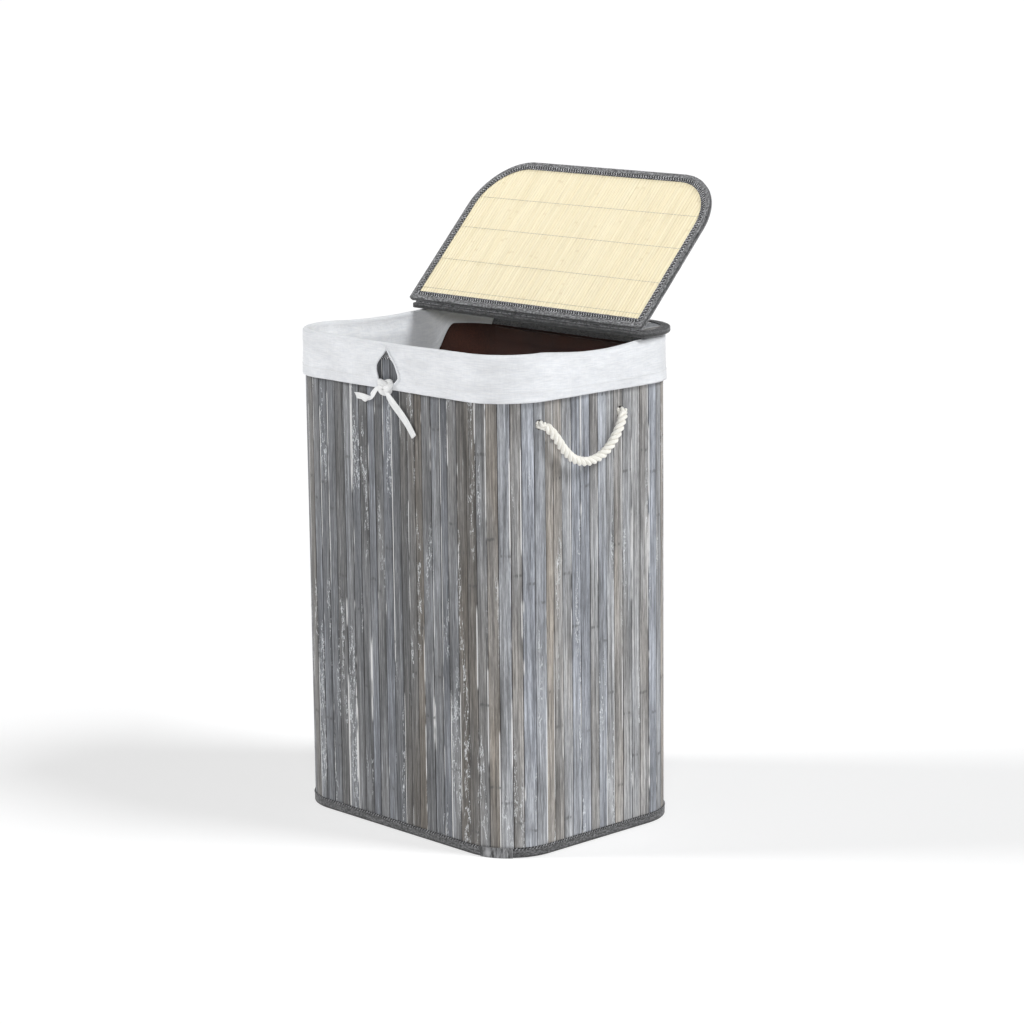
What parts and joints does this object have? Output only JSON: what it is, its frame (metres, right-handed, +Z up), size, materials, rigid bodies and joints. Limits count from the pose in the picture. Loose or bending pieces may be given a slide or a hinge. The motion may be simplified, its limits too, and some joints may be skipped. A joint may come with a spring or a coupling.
{
  "type": "laundry hamper with lid",
  "caption": "Tall bamboo-slat laundry hamper with a hinged two-part lid, turned-over cotton liner and rope carrying handles.",
  "frame": {"origin": "centre of the base board's underside, on the floor", "axes": "+Z up, +X to the right along the front, +Y towards the back where the lid is hinged"},
  "size_m": [0.4252, 0.3823, 0.7692],
  "materials": {
    "grey_bamboo": "weathered grey stain on bamboo strips, dry and matt, pale at the worn edges",
    "natural_bamboo": "pale unstained bamboo, smooth and satin",
    "fibre_board": "plain brown fibreboard, matt",
    "grey_tape": "dark grey woven binding tape, matt",
    "cotton": "off-white polycotton, plain weave, soft and matt",
    "cotton_rope": "cream three-strand cotton rope, matt",
    "dark_backing": "dark brown backing cloth, matt"
  },
  "bodies": {
    "hamper": {"wall_front": "grey_bamboo", "wall_back": "grey_bamboo", "wall_left": "grey_bamboo", "wall_right": "grey_bamboo", "corner_front_left": "grey_bamboo", "corner_front_right": "grey_bamboo", "corner_back_left": "grey_bamboo", "corner_back_right": "grey_bamboo", "wall_backing": "dark_backing", "top_binding": "grey_tape", "bottom_binding": "grey_tape", "base_board": "fibre_board", "base_hinge_tape": "dark_backing", "rim_batten_front": "natural_bamboo", "rim_batten_back": "natural_bamboo", "rim_batten_left": "natural_bamboo", "rim_batten_right": "natural_bamboo", "liner_bag": "cotton", "liner_cuff": "cotton", "liner_fastener": "grey_tape", "tie_knot": "cotton", "tie_tail_left": "cotton", "tie_tail_right": "cotton", "rope_knot_left_front": "cotton_rope", "rope_knot_left_back": "cotton_rope", "rope_knot_right_front": "cotton_rope", "rope_knot_right_back": "cotton_rope", "lid_strip_slats": "grey_bamboo", "lid_strip_board": "fibre_board", "lid_strip_lining": "natural_bamboo", "lid_strip_binding": "grey_tape", "lid_back_tape": "grey_tape", "lid_hinge_tape": "grey_tape"},
    "lid_flap": {"lid_flap_slats": "grey_bamboo", "lid_flap_board": "fibre_board", "lid_flap_lining": "natural_bamboo", "lid_flap_binding": "grey_tape"},
    "handle_left": {"rope_handle_left": "cotton_rope"},
    "handle_right": {"rope_handle_right": "cotton_rope"}
  },
  "joints": [
    {"name": "lid_hinge", "type": "hinge", "parent": "hamper", "child": "lid_flap", "pos_m": [0, 0.0675, 0.6], "axis": [-1, 0, 0], "range_deg": [-133.2, 41.8]},
    {"name": "handle_left_swing", "type": "hinge", "parent": "hamper", "child": "handle_left", "pos_m": [-0.1998, -0.0275, 0.51], "axis": [0, 1, 0], "range_deg": [0, 140]},
    {"name": "handle_right_swing", "type": "hinge", "parent": "hamper", "child": "handle_right", "pos_m": [0.1998, -0.0275, 0.51], "axis": [0, -1, 0], "range_deg": [0, 140]}
  ]
}
